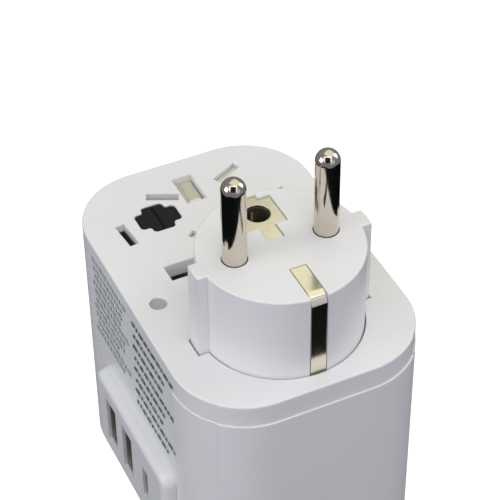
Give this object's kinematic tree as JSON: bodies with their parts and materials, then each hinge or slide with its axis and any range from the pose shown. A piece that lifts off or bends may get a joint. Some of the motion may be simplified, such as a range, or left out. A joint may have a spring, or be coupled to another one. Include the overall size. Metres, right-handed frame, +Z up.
{
  "type": "universal travel adapter",
  "caption": "White travel mains adapter: an earthed round-pin plug slid out of the top face, other plug blades at home, USB ports on the side and a socket in the base.",
  "frame": {"origin": "centre of the casing's base, where it stands", "axes": "+Z up through the plug face, along the pins; +X towards the side with two sliders, away from the USB block; -Y towards the front panel beside the round-pin plug"},
  "size_m": [0.0559, 0.0763, 0.0982],
  "materials": {
    "white_shell": "fine satin",
    "white_plug": "satin",
    "slider_plastic": "satin",
    "button_plastic": "satin",
    "inner_plastic": "moulded",
    "black_plastic": "moulded",
    "lens": "frosted",
    "nickel": "polished nickel plate",
    "earth_metal": "pale plated brass",
    "contact_brass": "stamped",
    "port_steel": "drawn sheet",
    "screw_steel": "zinc plated",
    "board_green": "solder mask",
    "component": "sleeved",
    "ceramic": "glazed"
  },
  "bodies": {
    "housing": {"top_cap": "white_shell", "rear_shell": "white_shell", "front_shell": "white_shell", "base_cover": "white_shell", "housing_screws": "screw_steel", "indicator_lens": "lens", "interlock_hub": "black_plastic", "usb_bezel": "white_shell", "usb_a_port_rear": "port_steel", "usb_a_port_front": "port_steel", "usb_c_port": "port_steel", "usb_a_tongues": "black_plastic", "usb_c_tongue": "black_plastic", "usb_board": "board_green", "socket_block": "inner_plastic", "live_contact": "contact_brass", "neutral_contact": "contact_brass", "earth_contact": "contact_brass", "live_busbar": "contact_brass", "neutral_busbar": "contact_brass", "earth_busbar": "contact_brass", "power_board": "board_green", "transformer": "component", "capacitor": "component", "fuse": "ceramic", "fuse_clips": "contact_brass"},
    "schuko_plug": {"schuko_body": "white_plug", "schuko_core": "inner_plastic", "schuko_carrier": "inner_plastic", "schuko_pin_left": "nickel", "schuko_pin_right": "nickel", "earth_strap": "earth_metal", "earth_plate": "earth_metal", "earth_sleeve": "earth_metal", "schuko_knob": "slider_plastic"},
    "uk_plug": {"uk_carrier": "inner_plastic", "uk_live_pin": "nickel", "uk_neutral_pin": "nickel", "uk_earth_pin": "nickel", "uk_pin_sleeves": "black_plastic", "uk_knob": "slider_plastic"},
    "au_plug": {"au_carrier": "inner_plastic", "au_live_blade": "nickel", "au_neutral_blade": "nickel", "au_earth_blade": "nickel", "au_knob": "slider_plastic"},
    "us_plug": {"us_carrier": "inner_plastic", "us_live_blade": "nickel", "us_neutral_blade": "nickel", "us_knob": "slider_plastic"},
    "schuko_button": {"schuko_button": "button_plastic"},
    "uk_button": {"uk_button": "button_plastic"},
    "au_button": {"au_button": "button_plastic"},
    "us_button": {"us_button": "button_plastic"}
  },
  "joints": [
    {"name": "schuko_slide", "type": "slide", "parent": "housing", "child": "schuko_plug", "axis": [0, 0, 1], "range_m": [-0.0382, 0]},
    {"name": "uk_slide", "type": "slide", "parent": "housing", "child": "uk_plug", "axis": [0, 0, 1], "range_m": [0, 0.0234]},
    {"name": "au_slide", "type": "slide", "parent": "housing", "child": "au_plug", "axis": [0, 0, 1], "range_m": [0, 0.0207]},
    {"name": "us_slide", "type": "slide", "parent": "housing", "child": "us_plug", "axis": [0, 0, 1], "range_m": [0, 0.0177]},
    {"name": "schuko_press", "type": "slide", "parent": "schuko_plug", "child": "schuko_button", "axis": [1, 0, 0], "range_m": [-0.0006, 0], "stiffness_N_per_m": 250},
    {"name": "uk_press", "type": "slide", "parent": "uk_plug", "child": "uk_button", "axis": [1, 0, 0], "range_m": [-0.0006, 0], "stiffness_N_per_m": 250},
    {"name": "au_press", "type": "slide", "parent": "au_plug", "child": "au_button", "axis": [0, 1, 0], "range_m": [-0.0006, 0], "stiffness_N_per_m": 250},
    {"name": "us_press", "type": "slide", "parent": "us_plug", "child": "us_button", "axis": [0, 1, 0], "range_m": [-0.0006, 0], "stiffness_N_per_m": 250}
  ]
}
